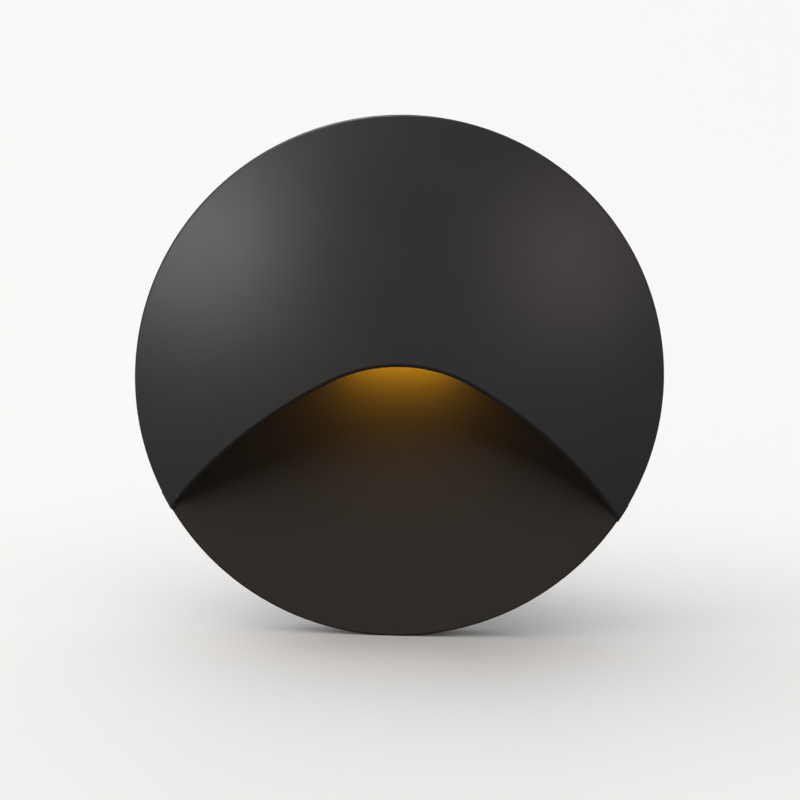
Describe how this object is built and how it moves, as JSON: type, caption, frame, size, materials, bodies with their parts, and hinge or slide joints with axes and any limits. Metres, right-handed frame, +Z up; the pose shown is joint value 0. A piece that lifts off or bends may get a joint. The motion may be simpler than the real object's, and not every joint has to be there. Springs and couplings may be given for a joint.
{
  "type": "sensor wall light",
  "caption": "Round recessed wall light: a domed hood with an arched lip hides a downward light strip over a plain face; motion sensor inside, spring clips behind.",
  "frame": {"origin": "on the face's axis, in the plane of the wall that the rear gasket rests on", "axes": "+X to the right seen from the front, +Y into the wall, +Z up; the face looks along -Y"},
  "size_m": [0.1198, 0.0771, 0.1197],
  "materials": {
    "face_shell": "satin, fine grain",
    "body_plastic": "matt moulded",
    "foam": "closed-cell foam",
    "frosted_window": "frosted, lit from behind",
    "seal_rubber": "matt",
    "led_emitter": "phosphor",
    "sensor_black": "moulded",
    "circuit_board": "solder mask",
    "bent_aluminium": "mill",
    "zinc_steel": "zinc plated",
    "spring_steel": "bright",
    "lead_red": "smooth",
    "lead_black": "smooth",
    "ferrite": "matt",
    "copper_winding": "wrapped tape",
    "capacitor_sleeve": "shrunk sleeve",
    "fuse_body": "matt",
    "terminal_grey": "moulded",
    "button_orange": "moulded",
    "trimmer_blue": "moulded",
    "dial_white": "moulded"
  },
  "bodies": {
    "light_body": {"board_link": "sensor_black", "bracket_screws": "zinc_steel", "clip_pin_left": "zinc_steel", "clip_pin_right": "zinc_steel", "clip_spring_left": "spring_steel", "clip_spring_right": "spring_steel", "cover_gasket": "seal_rubber", "cover_screws": "zinc_steel", "door_pin": "zinc_steel", "driver_board": "circuit_board", "face_screws": "zinc_steel", "fuse": "fuse_body", "gland_body": "body_plastic", "gland_cap": "body_plastic", "gland_locknut": "body_plastic", "gland_seal": "seal_rubber", "hood_cover": "face_shell", "hood_screws": "zinc_steel", "housing": "body_plastic", "input_capacitor": "capacitor_sleeve", "led_board": "circuit_board", "led_bracket": "bent_aluminium", "led_chip_1": "led_emitter", "led_chip_2": "led_emitter", "led_chip_3": "led_emitter", "led_lead_left": "lead_black", "led_lead_right": "lead_red", "light_sensor": "sensor_black", "light_window": "frosted_window", "lower_face": "face_shell", "output_capacitor": "capacitor_sleeve", "rear_cover": "body_plastic", "rectifier": "sensor_black", "sensor_board": "circuit_board", "sensor_shield": "zinc_steel", "terminal_block": "terminal_grey", "transformer_core": "ferrite", "transformer_winding": "copper_winding", "trimmer_light": "trimmer_blue", "trimmer_range": "trimmer_blue", "trimmer_time": "trimmer_blue", "wall_gasket": "foam", "window_gasket": "seal_rubber"},
    "clip_left": {"clip_arm_left": "spring_steel", "clip_pad_left": "seal_rubber"},
    "clip_right": {"clip_arm_right": "spring_steel", "clip_pad_right": "seal_rubber"},
    "terminal_door": {"terminal_door": "body_plastic"},
    "release_button_1": {"release_button_1": "button_orange"},
    "release_button_2": {"release_button_2": "button_orange"},
    "release_button_3": {"release_button_3": "button_orange"},
    "dial_time": {"dial_time": "dial_white"},
    "dial_light": {"dial_light": "dial_white"},
    "dial_range": {"dial_range": "dial_white"}
  },
  "joints": [
    {"name": "clip_left_fold", "type": "hinge", "parent": "light_body", "child": "clip_left", "pos_m": [-0.0305, 0.0105, 0], "axis": [0, 0, -1], "range_deg": [0, 90], "stiffness_Nm_per_rad": 0.02, "springref_deg": -20.05, "deforming": ["clip_spring_left"]},
    {"name": "clip_right_fold", "type": "hinge", "parent": "light_body", "child": "clip_right", "pos_m": [0.0305, 0.0105, 0], "axis": [0, 0, 1], "range_deg": [0, 90], "stiffness_Nm_per_rad": 0.02, "springref_deg": -20.05, "deforming": ["clip_spring_right"]},
    {"name": "terminal_door_swing", "type": "hinge", "parent": "light_body", "child": "terminal_door", "pos_m": [0, 0.0481, 0.0196], "axis": [1, 0, 0], "range_deg": [0, 110]},
    {"name": "release_button_1_press", "type": "slide", "parent": "light_body", "child": "release_button_1", "axis": [0, -1, 0], "range_m": [0, 0.0014], "stiffness_N_per_m": 300, "springref_m": -0.001},
    {"name": "release_button_2_press", "type": "slide", "parent": "light_body", "child": "release_button_2", "axis": [0, -1, 0], "range_m": [0, 0.0014], "stiffness_N_per_m": 300, "springref_m": -0.001},
    {"name": "release_button_3_press", "type": "slide", "parent": "light_body", "child": "release_button_3", "axis": [0, -1, 0], "range_m": [0, 0.0014], "stiffness_N_per_m": 300, "springref_m": -0.001},
    {"name": "dial_time_turn", "type": "hinge", "parent": "light_body", "child": "dial_time", "pos_m": [-0.014, 0.042, -0.005], "axis": [0, 1, 0], "range_deg": [-135, 135]},
    {"name": "dial_light_turn", "type": "hinge", "parent": "light_body", "child": "dial_light", "pos_m": [0, 0.042, -0.005], "axis": [0, 1, 0], "range_deg": [-135, 135]},
    {"name": "dial_range_turn", "type": "hinge", "parent": "light_body", "child": "dial_range", "pos_m": [0.014, 0.042, -0.005], "axis": [0, 1, 0], "range_deg": [-135, 135]}
  ]
}
